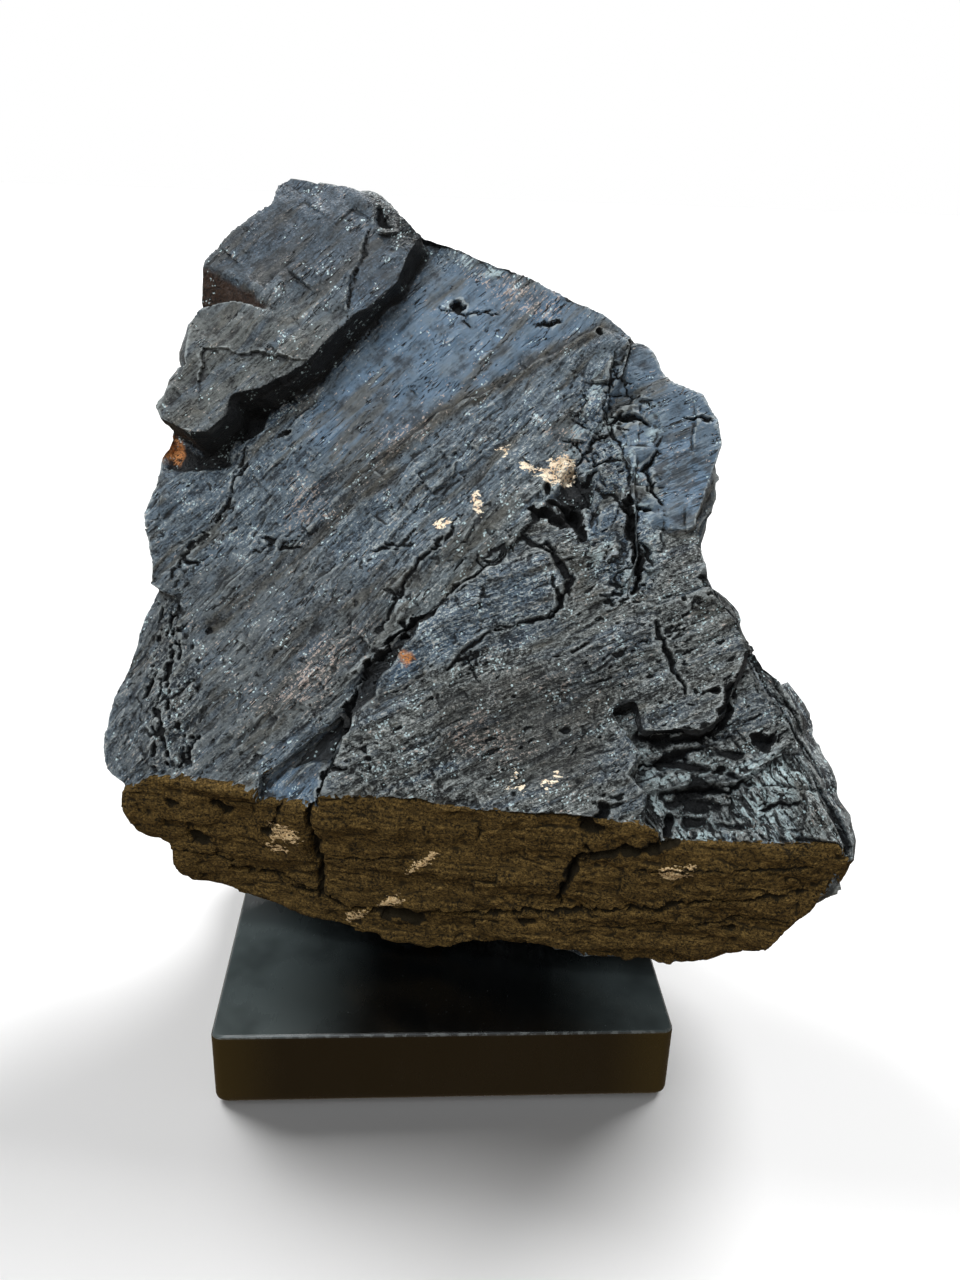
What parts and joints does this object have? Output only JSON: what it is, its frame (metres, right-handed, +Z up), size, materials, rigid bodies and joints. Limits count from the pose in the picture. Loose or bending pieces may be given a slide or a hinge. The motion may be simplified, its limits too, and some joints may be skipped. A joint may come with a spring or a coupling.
{
  "type": "black tourmaline specimen on a display block",
  "caption": "Large rough black tourmaline with a broad sloping face, standing on a low black painted wooden block.",
  "frame": {"origin": "centre of the wooden block's flat underside", "axes": "+Z up, -Y towards the viewer whom the stone's broad face looks at, +X to the viewer's right"},
  "size_m": [0.2497, 0.1709, 0.2818],
  "materials": {
    "tourmaline": "satin black mineral with a slate sheen, brown and earthy on its lower end",
    "painted_wood": "satin black paint"
  },
  "bodies": {
    "root": {"tourmaline": "tourmaline", "stand_block": "painted_wood"}
  },
  "joints": []
}
